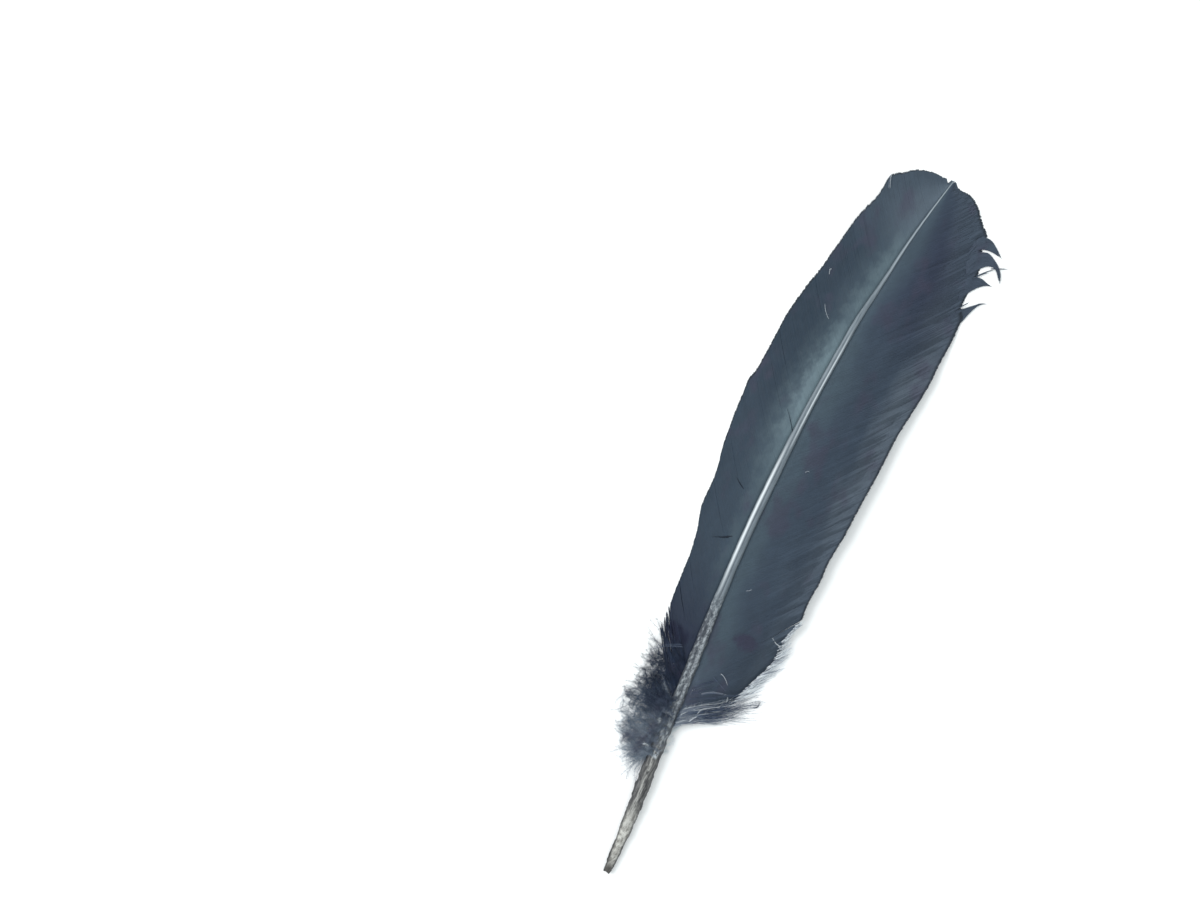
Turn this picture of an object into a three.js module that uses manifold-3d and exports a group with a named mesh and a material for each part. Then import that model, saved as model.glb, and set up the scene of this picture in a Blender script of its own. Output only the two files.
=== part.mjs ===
// A quill feather from a bird's wing, lying on a flat surface with its grooved side up.
// It grew as one piece: a bare quill, the shaft that carries it on to the tip, a narrow vane
// on the left, a wide vane on the right, and a tuft of down where the vanes begin.
// Millimetres. +X points to the wide vane, +Y runs from the quill end to the tip, +Z is up.
// The surface under the feather is z = 0, and the origin is in the middle of its footprint.
import * as THREE from 'three';
import * as BufferGeometryUtils from 'three/addons/utils/BufferGeometryUtils.js';
import Module from 'manifold-3d';

// Driving dimensions. While it is shaped, y is 0 at the quill end.
const LENGTH = 280;
const BARB_SLOPE = 1.19; // a barb runs this far along the shaft for each millimetre across
const VANE_THICKNESS_AT_SHAFT = 1.3;
const VANE_THICKNESS_AT_EDGE = 0.7;
const BARB_RIPPLE = 0.12; // how far every other bundle of barbs stands above the next
const VANE_SEAT = 0.32; // height at which a vane's underside leaves the shaft, as a share of its height
const VANE_SEAT_DEPTH = 0.4; // a vane is at most this share of the shaft's height where it leaves it
const GROOVE_SHARE = 0.16; // depth of the shaft's groove, as a share of the shaft's height
const GROOVE_FROM_Y = 30; // the groove opens along this stretch of the quill
const GROOVE_FULL_Y = 60;
const END_PIT = 1.6; // depth of the small hole in the quill's end
const END_PIT_SHARE = 0.26; // its radius, as a share of the quill's width there
const SMALLEST = 0.16; // half-width where a point or a barb runs out

// The shaft: [y, value] from the quill end to the tip
const SHAFT_X = [
  [0, 0], [16, -1.2], [31, -2.6], [45, -4.1], [74, -6.1], [103, -8.3], [132, -9.9], [160, -10.3],
  [183, -9.9], [205, -8.9], [219, -8.2], [234, -6.4], [255, -4], [270, -1.4], [LENGTH, 0.5],
];
const SHAFT_WIDTH = [
  [0, 2.3], [4, 3], [9, 3.4], [16, 4.2], [31, 5], [38, 5.25], [60, 4.6], [89, 4.3], [118, 3.6],
  [154, 3.6], [183, 2.9], [219, 2.5], [237, 1.6], [255, 1.1], [LENGTH, 0.6],
];
const QUILL_STATIONS = [0, 1.5, 4, 9, 16, 24, 31, 38, 45, 52]; // sections of the bare quill
const SHAFT_STEP = 8; // and between sections beyond it
const SHAFT_HEIGHT = 0.88; // height of the shaft's section as a share of its width
const SHAFT_LIFT = [
  [0, 0], [12, 0], [26, 0], [45, 0.7], [80, 1.9], [130, 3], [180, 3.1], [220, 2.3], [255, 1.1],
  [LENGTH, 0.3],
];

// The vanes' outer edges: [x, y] from the down to the tip
const NARROW_EDGE = [
  [-22.7, 90], [-24, 107], [-25.3, 121], [-28.8, 135], [-30, 149], [-33, 167], [-34.2, 182], [-32.9, 192],
  [-32.1, 211], [-29.4, 226], [-26.8, 241], [-24.4, 255], [-21.8, 264], [-21.2, 270.8], [-16.9, 274.6],
  [-10.6, 278.4], [-4.5, 279.4], [-0.7, 279.7],
];
const WIDE_EDGE = [
  [14, 76.6], [17.6, 87.8], [20.2, 99], [21.2, 112], [21, 134], [22, 157], [22.8, 182], [24, 198],
  [25.1, 219], [25.5, 234], [23.4, 241], [22.6, 252], [20.4, 262], [19.6, 267.6], [16.4, 271],
  [11.5, 275.7], [5.9, 277.9], [1.2, 279.6],
];
const EDGE_STEPS = 50; // barb bundles modelled along each vane
const FLAT_MARGIN = 0.88; // the vane meets the surface at this share of its width, and lies flat beyond
const ACROSS = [0, 0.2, 0.4, 0.6, 0.76, FLAT_MARGIN, 1]; // points from the shaft to the edge
const ARCH_POWER = 1.7; // how late the vane bends down on its way out from the shaft

// How far the wide vane's edge stands clear of the surface: [y, height]
const WIDE_EDGE_LIFT = [
  [50, 0], [105, 0], [140, 0.9], [185, 1.5], [215, 0.6], [232, 0], [LENGTH, 0],
];
const NARROW_EDGE_LIFT = [[70, 0], [210, 0], [230, 0], [256, 0.7], [LENGTH, 0]];

// Split locks at the wide vane's edge near the tip: root, bend and tip as [x, y], then the width
const SPLIT_LOCKS = [
  [[15, 260], [21.5, 267.5], [28.2, 262.3], 6],
  [[17, 250], [26, 262.5], [32, 253.7], 8.5],
  [[25, 256.4], [29, 258.4], [32.3, 260], 1.2],
  [[18, 241], [24, 252], [30.1, 251.6], 6.5],
  [[19, 229], [25.5, 239], [31.2, 245.3], 5.5],
];
const SPLIT_LOCK_Z = 0.4;
const SPLIT_LOCK_THICKNESS = 0.6;

// Loose barbs at the wide vane's lower edge: root's y on the shaft, bend and tip as [x, y], then the width
const EDGE_WISPS = [
  [86, [15, 99], [22.9, 107.8], 1.6],
  [78, [15, 92], [23.2, 100.5], 1.8],
  [68, [14, 81], [22.7, 87.1], 2.4],
  [62, [12, 75], [22.2, 78.1], 2.8],
  [59, [8, 73], [19.2, 76], 3.2],
  [55, [6, 67], [17, 70], 3.6],
  [52, [3, 62], [14, 67.3], 3.6],
  [49, [0, 58], [9.5, 64.8], 3.4],
];
const WISP_Z = 1.1;
const WISP_THICKNESS = 0.9;

// The down: soft locks up both sides of the shaft, angles in degrees from the shaft
const DOWN_FROM_Y = 47;
const DOWN_TO_Y = 80;
const DOWN_LEFT = { locks: 22, length: 19 };
const DOWN_RIGHT = { locks: 12, length: 12 };
const DOWN_ANGLE_LOW = 112; // the lowest locks hang back over the bare quill
const DOWN_ANGLE_HIGH = 48;
const DOWN_SCATTER = 34;
const DOWN_WIDTH = 4.6;
const DOWN_THICKNESS = 1.5;
const DOWN_TOP = 12; // height of the bend that lifts the highest lock
const DOWN_LOW = 1; // height of the lowest tip
const DOWN_BEND = 0.55; // a lock bends this share of the way out
const DOWN_TURN = 16; // and sets out this much further back than its tip lies, in degrees
const GOLDEN = 0.618;

const LOCK_STEPS = 6; // sections of a lock
const LOCK_ROOT_SWELL = 0.3; // a lock is widest a fifth of the way out, and narrower at its root

const wasm = await Module();
wasm.setup();

// A smooth curve through [place, value] pairs, as a function of place
function along(stations) {
  const places = stations.map((station) => station[0]);
  const values = stations.map((station) => station[1]);
  const curve = new THREE.CubicInterpolant(places, values, 1);
  return (place) => curve.evaluate(place)[0];
}

const shaftX = along(SHAFT_X);
const shaftWidth = along(SHAFT_WIDTH);
const shaftRise = along(SHAFT_LIFT);
const shaftLift = (y) => Math.max(0, shaftRise(y));
const shaftHeight = (y) => SHAFT_HEIGHT * shaftWidth(y);

// Joins rings of points into a closed skin. Each ring runs over the top and back below, seen
// from behind, so that its first and last points are neighbours at one side.
function loft(rings) {
  const count = rings[0].length;
  const points = rings.flat();
  const faces = [];
  for (let ring = 0; ring < rings.length - 1; ring += 1) {
    for (let i = 0; i < count; i += 1) {
      const next = (i + 1) % count;
      const a = ring * count + i;
      const b = ring * count + next;
      faces.push([a, b, a + count], [b, b + count, a + count]);
    }
  }
  const last = (rings.length - 1) * count;
  for (let i = 0; i < count / 2 - 1; i += 1) {
    const below = count - 1 - i;
    faces.push([i, below, i + 1], [i + 1, below, below - 1]);
    faces.push([last + i, last + i + 1, last + below], [last + i + 1, last + below - 1, last + below]);
  }
  const geometry = new THREE.BufferGeometry();
  geometry.setFromPoints(points);
  geometry.setIndex(faces.flat());
  return geometry;
}

// A closed skin as a solid that can be joined to others
function solid(geometry) {
  const merged = BufferGeometryUtils.mergeVertices(geometry);
  return new wasm.Manifold(new wasm.Mesh({
    numProp: 3,
    vertProperties: new Float32Array(merged.attributes.position.array),
    triVerts: new Uint32Array(merged.index.array),
  }));
}

// One section of the shaft: a rounded box with a groove along the middle of its top
function shaftSection(y) {
  const half = shaftWidth(y) / 2;
  const height = shaftHeight(y);
  const middle = shaftLift(y) + height / 2;
  const groove = height * GROOVE_SHARE * THREE.MathUtils.smoothstep(y, GROOVE_FROM_Y, GROOVE_FULL_Y);
  const top = [[-1, 0.15], [-0.82, 0.72], [-0.4, 0.98], [0, 1], [0.4, 0.98], [0.82, 0.72], [1, 0.15]];
  const below = [[0.9, -0.5], [0.6, -0.88], [0.2, -1], [0, -1], [-0.2, -1], [-0.6, -0.88], [-0.9, -0.5]];
  return [...top, ...below].map(([across, up]) => {
    const dip = across === 0 && up > 0 ? groove : 0;
    return new THREE.Vector3(shaftX(y) + across * half, y, middle + up * height / 2 - dip);
  });
}

function makeShaft() {
  const stations = [...QUILL_STATIONS];
  for (let y = GROOVE_FULL_Y; y < LENGTH; y += SHAFT_STEP) {
    stations.push(y);
  }
  stations.push(LENGTH);
  return loft(stations.map(shaftSection));
}

// The small round hole in the quill's end, as a cone to cut away
function makeEndPit() {
  const cone = new THREE.ConeGeometry(shaftWidth(0) * END_PIT_SHARE, 2 * END_PIT, 10);
  cone.deleteAttribute('normal');
  cone.deleteAttribute('uv');
  cone.translate(shaftX(0), 0, shaftLift(0) + shaftHeight(0) / 2);
  return cone;
}

// Where the barb that ends at [x, y] leaves the shaft. Each round starts from the shaft's x at
// the last answer, and a few rounds settle it.
function barbRoot(x, y) {
  const rounds = 12;
  let root = y;
  for (let round = 0; round < rounds; round += 1) {
    root = y - BARB_SLOPE * Math.abs(x - shaftX(Math.min(root, LENGTH)));
  }
  return root;
}

// One vane: bundles of barbs from the shaft to the edge, arched over and flat along the margin
function makeVane(edgePoints, edgeLift) {
  const edge = new THREE.SplineCurve(edgePoints.map(([x, y]) => new THREE.Vector2(x, y)));
  const lift = along(edgeLift);
  const side = Math.sign(edgePoints[0][0]);
  const rings = edge.getSpacedPoints(EDGE_STEPS).map((tip, bundle) => {
    const rootY = barbRoot(tip.x, tip.y);
    const root = new THREE.Vector2(shaftX(rootY), rootY);
    const rise = shaftLift(rootY) + VANE_SEAT * shaftHeight(rootY);
    const rootThickness = Math.min(VANE_THICKNESS_AT_SHAFT, VANE_SEAT_DEPTH * shaftHeight(rootY));
    const ripple = bundle % 2 === 0 ? BARB_RIPPLE : 0;
    const top = [];
    const below = [];
    for (const out of ACROSS) {
      const place = root.clone().lerp(tip, out);
      const arch = 1 - (out / FLAT_MARGIN) ** ARCH_POWER;
      const low = Math.max(0, rise * arch) + Math.max(0, lift(tip.y)) * out ** 2;
      const thickness = THREE.MathUtils.lerp(rootThickness, VANE_THICKNESS_AT_EDGE, out);
      const ridge = ripple * Math.sin(Math.PI * out);
      top.push(new THREE.Vector3(place.x, place.y, low + thickness + ridge));
      below.unshift(new THREE.Vector3(place.x, place.y, low));
    }
    const ring = [...top, ...below];
    return side > 0 ? ring : ring.reverse();
  });
  return loft(rings);
}

// A tapering lock: a flat lens carried along a bent line from its root to its tip
function makeLock(start, bend, tip, width, thickness) {
  const line = new THREE.QuadraticBezierCurve3(start, bend, tip);
  const rings = [];
  for (let step = 0; step < LOCK_STEPS; step += 1) {
    const u = step / (LOCK_STEPS - 1);
    const centre = line.getPoint(u);
    const way = line.getTangent(u);
    const across = new THREE.Vector3(way.y, -way.x, 0).normalize();
    const swell = Math.sin(Math.PI * THREE.MathUtils.lerp(LOCK_ROOT_SWELL, 1, u));
    const half = Math.max(SMALLEST, (width / 2) * swell);
    const deep = Math.max(SMALLEST, (thickness / 2) * (1 - u ** 2));
    const left = centre.clone().addScaledVector(across, -half);
    const right = centre.clone().addScaledVector(across, half);
    const top = centre.clone().setZ(centre.z + deep);
    const below = centre.clone().setZ(centre.z - deep);
    rings.push([left, top, right, below]);
  }
  return loft(rings);
}

function makeSplitLocks() {
  return SPLIT_LOCKS.map(([root, bend, tip, width]) => makeLock(
    new THREE.Vector3(...root, SPLIT_LOCK_Z),
    new THREE.Vector3(...bend, SPLIT_LOCK_Z),
    new THREE.Vector3(...tip, SPLIT_LOCK_Z),
    width,
    SPLIT_LOCK_THICKNESS,
  ));
}

function makeEdgeWisps() {
  return EDGE_WISPS.map(([rootY, bend, tip, width]) => makeLock(
    new THREE.Vector3(shaftX(rootY), rootY, shaftLift(rootY) + shaftHeight(rootY) / 2),
    new THREE.Vector3(...bend, WISP_Z),
    new THREE.Vector3(...tip, WISP_Z),
    width,
    WISP_THICKNESS,
  ));
}

// The down on one side of the shaft. A steady scatter from the golden ratio keeps two
// neighbouring locks from lying the same way.
function makeDown(side, { locks, length }) {
  const { lerp, degToRad } = THREE.MathUtils;
  return Array.from({ length: locks }, (_, lock) => {
    const share = lock / (locks - 1);
    const scatter = (lock * GOLDEN) % 1;
    const rootY = lerp(DOWN_FROM_Y, DOWN_TO_Y, share);
    const angle = degToRad(lerp(DOWN_ANGLE_LOW, DOWN_ANGLE_HIGH, share) + DOWN_SCATTER * (scatter - 0.5));
    const far = length * lerp(0.62, 1, Math.sin(Math.PI * share)) * lerp(0.75, 1, scatter);
    const root = new THREE.Vector3(shaftX(rootY), rootY, shaftLift(rootY) + shaftHeight(rootY) / 2);
    const bend = root.clone();
    bend.x += side * far * DOWN_BEND * Math.sin(angle + degToRad(DOWN_TURN));
    bend.y += far * DOWN_BEND * Math.cos(angle + degToRad(DOWN_TURN));
    bend.z = DOWN_TOP * lerp(0.45, 1, scatter);
    const tip = root.clone();
    tip.x += side * far * Math.sin(angle);
    tip.y += far * Math.cos(angle);
    tip.z = lerp(DOWN_LOW, DOWN_TOP / 2, (lock * GOLDEN * GOLDEN) % 1);
    return makeLock(root, bend, tip, DOWN_WIDTH, DOWN_THICKNESS);
  });
}

// Fuses everything that grew together, and centres it on its footprint
function makeFeather() {
  const grown = [
    makeVane(NARROW_EDGE, NARROW_EDGE_LIFT),
    makeVane(WIDE_EDGE, WIDE_EDGE_LIFT),
    ...makeSplitLocks(),
    ...makeEdgeWisps(),
    ...makeDown(-1, DOWN_LEFT),
    ...makeDown(1, DOWN_RIGHT),
  ];
  let whole = solid(makeShaft());
  for (const piece of grown) {
    whole = whole.add(solid(piece));
  }
  whole = whole.subtract(solid(makeEndPit()));
  const skin = whole.getMesh();
  const geometry = new THREE.BufferGeometry();
  geometry.setAttribute('position', new THREE.BufferAttribute(skin.vertProperties, 3));
  geometry.setIndex(new THREE.BufferAttribute(skin.triVerts, 1));
  geometry.computeBoundingBox();
  const middle = geometry.boundingBox.getCenter(new THREE.Vector3());
  geometry.translate(-middle.x, -middle.y, -geometry.boundingBox.min.z);
  geometry.computeVertexNormals();
  return geometry;
}

const barbs = new THREE.MeshStandardMaterial({ color: 0x3d4651, roughness: 0.75, metalness: 0 });
const feather = new THREE.Mesh(makeFeather(), barbs);
feather.name = 'feather';

const model = new THREE.Group();
model.add(feather);

export default model;
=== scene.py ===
import bpy
import numpy as np
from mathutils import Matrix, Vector


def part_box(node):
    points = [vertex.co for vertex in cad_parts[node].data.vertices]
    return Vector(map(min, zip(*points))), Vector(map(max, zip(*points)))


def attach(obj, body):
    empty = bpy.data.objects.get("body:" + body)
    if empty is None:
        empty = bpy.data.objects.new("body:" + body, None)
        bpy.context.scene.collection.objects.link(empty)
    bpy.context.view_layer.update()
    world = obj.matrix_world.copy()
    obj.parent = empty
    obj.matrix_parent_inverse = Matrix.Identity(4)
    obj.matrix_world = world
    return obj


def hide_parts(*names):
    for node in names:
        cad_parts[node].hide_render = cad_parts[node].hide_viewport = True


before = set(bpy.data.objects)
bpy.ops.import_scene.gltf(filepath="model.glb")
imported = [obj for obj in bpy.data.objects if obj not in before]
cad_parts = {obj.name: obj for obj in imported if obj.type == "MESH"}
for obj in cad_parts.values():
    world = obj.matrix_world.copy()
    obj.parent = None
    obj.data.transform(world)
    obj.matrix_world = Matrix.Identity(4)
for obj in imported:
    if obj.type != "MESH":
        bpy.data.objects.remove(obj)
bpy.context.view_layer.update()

# The quill and the shaft
# One horny stem: a bare, stained, hollow quill, then the shaft between the vanes, grooved along its
# upper side and thinning to a hair at the tip.
MM = 0.001
feather_low, feather_high = (np.array(corner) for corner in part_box("feather"))
LENGTH = 280.0  # quill end to tip; shapes are worked out with y 0 at the quill end
LOCK_REACH = 32.33  # how far right of the quill's end the furthest stray barb ends
quill_place = np.array([feather_high[0] / MM - LOCK_REACH, feather_low[1] / MM, feather_low[2] / MM])

# The stem's middle line, its width and its rise off the surface, at stations along y
SHAFT_X = [
    (0, -0.6), (7, -0.95), (16, -1.5), (31, -2.75), (45, -4.2), (74, -6.15), (103, -8.45), (132, -10.1),
    (160, -10.55), (183, -10.35), (205, -9.4), (219, -8.6), (234, -6.65), (255, -4.1), (270, -1.5),
    (LENGTH, 0.45),
]
SHAFT_WIDTH = [
    (0, 2.7), (4, 3.25), (9, 3.65), (16, 4.4), (31, 5.05), (38, 5.25), (60, 4.6), (89, 4.3), (118, 3.6),
    (154, 3.55), (183, 2.8), (219, 2.3), (237, 1.5), (255, 1.05), (LENGTH, 0.5),
]
SHAFT_LIFT = [
    (0, 0), (12, 0), (26, 0), (45, 0.7), (80, 1.9), (130, 3), (180, 3.1), (220, 2.3), (255, 1.1),
    (LENGTH, 0.3),
]
SHAFT_HEIGHT = 0.88  # of its width
SHAFT_AROUND = 44  # points around the stem
QUILL_RINGS = 150  # rings of points along the quill's outside, and on from there along the shaft
SHAFT_RINGS = 420
# The hollow's wall from its bottom out to the rim: y, and its size as a share of the outside's
HOLLOW = [(9, 0.04), (9, 0.5), (6, 0.56), (2, 0.62), (0.3, 0.68), (0.02, 0.78), (0, 0.9), (0.15, 0.97)]
TIP_SIZE = 0.3  # of the last ring, as a share of the stem there
GROOVE_DEPTH = 0.13  # of the shaft's height, and twice that low down
RIM_WEAR = 0.3  # how far the worn rim strays along the stem
SCAR_Y = 46.5  # a nub on the skin where the first barbs begin
NUB_HEIGHT = 0.32


def eased(stations, places):
    """A smooth curve through (place, value) stations, in cubics. Its slope at a station is the weighted
    mean of the slopes beside it."""
    at, value = np.array(stations, float).T
    slope = np.gradient(value, at)
    places = np.clip(places, at[0], at[-1])
    i = np.clip(np.searchsorted(at, places, side="right") - 1, 0, len(at) - 2)
    step = at[i + 1] - at[i]
    t = (places - at[i]) / step
    rise = (1 - t) ** 2 * (1 + 2 * t) * value[i] + t**2 * (3 - 2 * t) * value[i + 1]
    return rise + step * (t * (1 - t) ** 2 * slope[i] - t**2 * (1 - t) * slope[i + 1])


def smooth_step(low, high, value):
    """0 below low, 1 above high, and 3t^2 - 2t^3 between."""
    t = np.clip((value - low) / (high - low), 0, 1)
    return t * t * (3 - 2 * t)


def uneven(seed, u, v, longest, waves=26):
    """A steady unevenness, about -1 to 1: plane waves over u and v in all directions, their lengths
    from an eighth of the longest up to it."""
    rng = np.random.default_rng(seed)
    way = rng.uniform(0, 2 * np.pi, waves)
    length = longest * rng.uniform(0.125, 1, waves)
    turn = rng.uniform(0, 2 * np.pi, waves)
    total = np.zeros(np.broadcast(u, v).shape)
    for angle, size, start in zip(way, length, turn):
        total += np.sin(2 * np.pi * (u * np.cos(angle) + v * np.sin(angle)) / size + start)
    return total / np.sqrt(waves / 2)


def shaft_x(y):
    """Where the stem's middle line is, from the quill's end to the right."""
    return eased(SHAFT_X, y)


def shaft_width(y):
    """How wide the stem is."""
    return eased(SHAFT_WIDTH, y)


def shaft_lift(y):
    """How high the stem's belly is off the surface."""
    return np.maximum(0, eased(SHAFT_LIFT, y))


def as_mesh(name, points, quads, caps=(), **values):
    """A smooth mesh object from points in millimetres, quads and a few larger caps. Each named array
    becomes an attribute of the points."""
    mesh = bpy.data.meshes.new(name)
    places = (points + quill_place) * MM
    corners = np.concatenate([np.ravel(quads), *(np.ravel(cap) for cap in caps)]).astype(np.int32)
    sizes = np.array([4] * len(quads) + [len(cap) for cap in caps])
    mesh.vertices.add(len(points))
    mesh.vertices.foreach_set("co", places.astype(np.float32).ravel())
    mesh.loops.add(len(corners))
    mesh.loops.foreach_set("vertex_index", corners)
    mesh.polygons.add(len(sizes))
    mesh.polygons.foreach_set("loop_start", np.concatenate([[0], np.cumsum(sizes)[:-1]]).astype(np.int32))
    mesh.polygons.foreach_set("use_smooth", np.ones(len(sizes), bool))
    for key, array in values.items():
        attribute = mesh.attributes.new(key, "FLOAT", "POINT")
        attribute.data.foreach_set("value", np.ravel(array).astype(np.float32))
    mesh.update(calc_edges=True)
    piece = bpy.data.objects.new(name, mesh)
    bpy.context.scene.collection.objects.link(piece)
    return piece


def ring_quads(rings, around):
    """The quads between each ring of points and the next, facing away from the axis."""
    ring, i = np.meshgrid(np.arange(rings - 1), np.arange(around), indexing="ij")
    a = ring * around + i
    b = ring * around + (i + 1) % around
    return np.stack([a, a + around, b + around, b], -1).reshape(-1, 4)


def shaft_skin():
    """The stem's skin on a grid of (ring along the stem, angle around it), from the hollow out over
    the worn rim and along the outside. A ring is a rounded box, |x/a|^p + |z/b|^p = 1, with p from 2
    at the quill to 2.6 on the shaft, less the groove. Also gives each point's way across, from -1 to
    1, and whether it is on the belly."""
    angle = np.linspace(0, 2 * np.pi, SHAFT_AROUND, endpoint=False)
    quill_y = np.linspace(0.5, 46, QUILL_RINGS)
    outside = np.concatenate([quill_y, np.linspace(46.4, LENGTH, SHAFT_RINGS)])
    hollow_y, hollow_size = np.array(HOLLOW).T
    y = np.concatenate([hollow_y, outside])[:, None]
    size = np.concatenate([hollow_size, np.ones(len(outside))])[:, None]
    size[-1] = TIP_SIZE
    half = size * shaft_width(y) / 2
    tall = half * SHAFT_HEIGHT
    middle = shaft_lift(y) + SHAFT_HEIGHT * shaft_width(y) / 2
    on_shaft = smooth_step(30, 70, y)
    power = 2 / (2 + 0.6 * on_shaft)
    c, s = np.cos(angle)[None, :], np.sin(angle)[None, :]
    across = np.sign(c) * np.abs(c) ** power
    up = np.sign(s) * np.abs(s) ** power
    groove = on_shaft * (1 - smooth_step(190, 250, y)) * np.exp(-((across / 0.2) ** 2)) * (up > 0)
    depth = GROOVE_DEPTH * (2 - smooth_step(80, 125, y))
    roof = 0.12 * on_shaft * np.abs(across) ** 1.5 * (up > 0)
    scabs = np.maximum(0, uneven(3, y * 0.7, across * 2.2, 6) - 0.55) * (1 - smooth_step(38, 60, y))
    scuffs = uneven(4, y * 0.45, across * 1.8 + up, 5) * (0.016 + 0.03 * (1 - smooth_step(50, 130, y)))
    swell = 1 + 0.07 * scabs + scuffs
    nub = NUB_HEIGHT * np.exp(-(((y - SCAR_Y) / 1.5) ** 2) - ((across - 0.15) / 0.35) ** 2) * (up > 0)
    x = shaft_x(y) + across * half * swell
    z = middle + tall * up * swell - tall * (depth * groove + roof) + nub
    rough_rim = RIM_WEAR * uneven(5, np.cos(angle) * 0.8, np.sin(angle) * 0.8, 4)[None, :]
    y_rim = y + rough_rim * np.exp(-y / 1.2) * smooth_step(0.5, 0.9, size)
    points = np.stack(np.broadcast_arrays(x, y_rim, np.maximum(z, 0.01)), -1)
    belly = np.broadcast_to(up <= -0.2, x.shape)
    return points, np.broadcast_to(across, x.shape), belly


shaft_points, shaft_side, shaft_belly = shaft_skin()
rings = len(shaft_points)
first_ring = np.arange(SHAFT_AROUND)
last_ring = (rings - 1) * SHAFT_AROUND + first_ring
shaft = as_mesh(
    "quill_shaft",
    shaft_points.reshape(-1, 3),
    ring_quads(rings, SHAFT_AROUND),
    caps=[first_ring[::-1], last_ring],
    side=shaft_side,
    belly=shaft_belly,
)


class Nodes:
    """Short ways to add shader nodes to one material."""

    def __init__(self, name):
        """A new material of this name, with the usual shader in it."""
        self.material = bpy.data.materials.new(name)
        self.material.use_nodes = True
        self.tree = self.material.node_tree
        self.shader = self.tree.nodes["Principled BSDF"]

    def add(self, kind, **settings):
        """A new shader node of a kind, with these settings."""
        node = self.tree.nodes.new("ShaderNode" + kind)
        for key, value in settings.items():
            setattr(node, key, value)
        return node

    def feed(self, socket, value):
        """Links a node's output into a socket, or sets the socket to a value."""
        if isinstance(value, bpy.types.NodeSocket):
            self.tree.links.new(value, socket)
        else:
            socket.default_value = value

    def maths(self, operation, a, b=0.5, clamp=False):
        """One sum, product or the like of two values."""
        node = self.add("Math", operation=operation, use_clamp=clamp)
        self.feed(node.inputs[0], a)
        self.feed(node.inputs[1], b)
        return node.outputs[0]

    def times(self, first, *others):
        """The product of two or more values."""
        for other in others:
            first = self.maths("MULTIPLY", first, other)
        return first

    def spread(self, value, low, high, out_low=0.0, out_high=1.0):
        """A value from low to high, mapped to out_low to out_high with soft ends."""
        node = self.add("MapRange", interpolation_type="SMOOTHSTEP")
        for socket, number in zip(node.inputs, (value, low, high, out_low, out_high)):
            self.feed(socket, number)
        return node.outputs[0]

    def mix(self, share, a, b, blend="MIX"):
        """Colour a with this share of colour b over it, or of their blend."""
        node = self.add("Mix", data_type="RGBA", blend_type=blend)
        self.feed(node.inputs[0], share)
        self.feed(node.inputs[6], a)
        self.feed(node.inputs[7], b)
        return node.outputs[2]

    def value(self, name):
        """A named value that the mesh's points carry."""
        return self.add("Attribute", attribute_name=name).outputs["Fac"]

    def noise(self, where, scale, detail=4.0, roughness=0.55):
        """Cloudy noise from 0 to 1 around 0.5."""
        node = self.add("TexNoise")
        self.feed(node.inputs["Vector"], where)
        self.feed(node.inputs["Scale"], scale)
        self.feed(node.inputs["Detail"], detail)
        self.feed(node.inputs["Roughness"], roughness)
        return node.outputs["Fac"]

    def stretched(self, scale):
        """Object coordinates in millimetres from the quill end, each axis times its scale."""
        place = self.add("Mapping")
        shift = [-p * s for p, s in zip(quill_place, scale)]
        self.feed(place.inputs["Vector"], self.add("TexCoord").outputs["Object"])
        self.feed(place.inputs["Location"], shift)
        self.feed(place.inputs["Scale"], [s / MM for s in scale])
        return place.outputs["Vector"]

    def place(self):
        """Millimetres to the right of the quill end, and from it towards the tip."""
        split = self.add("SeparateXYZ")
        self.feed(split.inputs[0], self.stretched((1, 1, 1)))
        return split.outputs["X"], split.outputs["Y"]

    def keep(self, **settings):
        """Settings that are the same all over the surface. Underscores stand for a socket's spaces."""
        for name, value in settings.items():
            self.shader.inputs[name.replace("_", " ")].default_value = value

    def bump(self, height, distance, strength=1.0):
        """A fine relief in the finish, this deep in metres."""
        node = self.add("Bump")
        self.feed(node.inputs["Height"], height)
        self.feed(node.inputs["Distance"], distance)
        self.feed(node.inputs["Strength"], strength)
        self.feed(self.shader.inputs["Normal"], node.outputs["Normal"])


def colour(red, green, blue):
    """A screen colour, 0 to 255, in the shader's linear light."""
    part = np.array([red, green, blue]) / 255
    linear = np.where(part <= 0.04045, part / 12.92, ((part + 0.055) / 1.055) ** 2.4)
    return (*linear.tolist(), 1.0)


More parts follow.
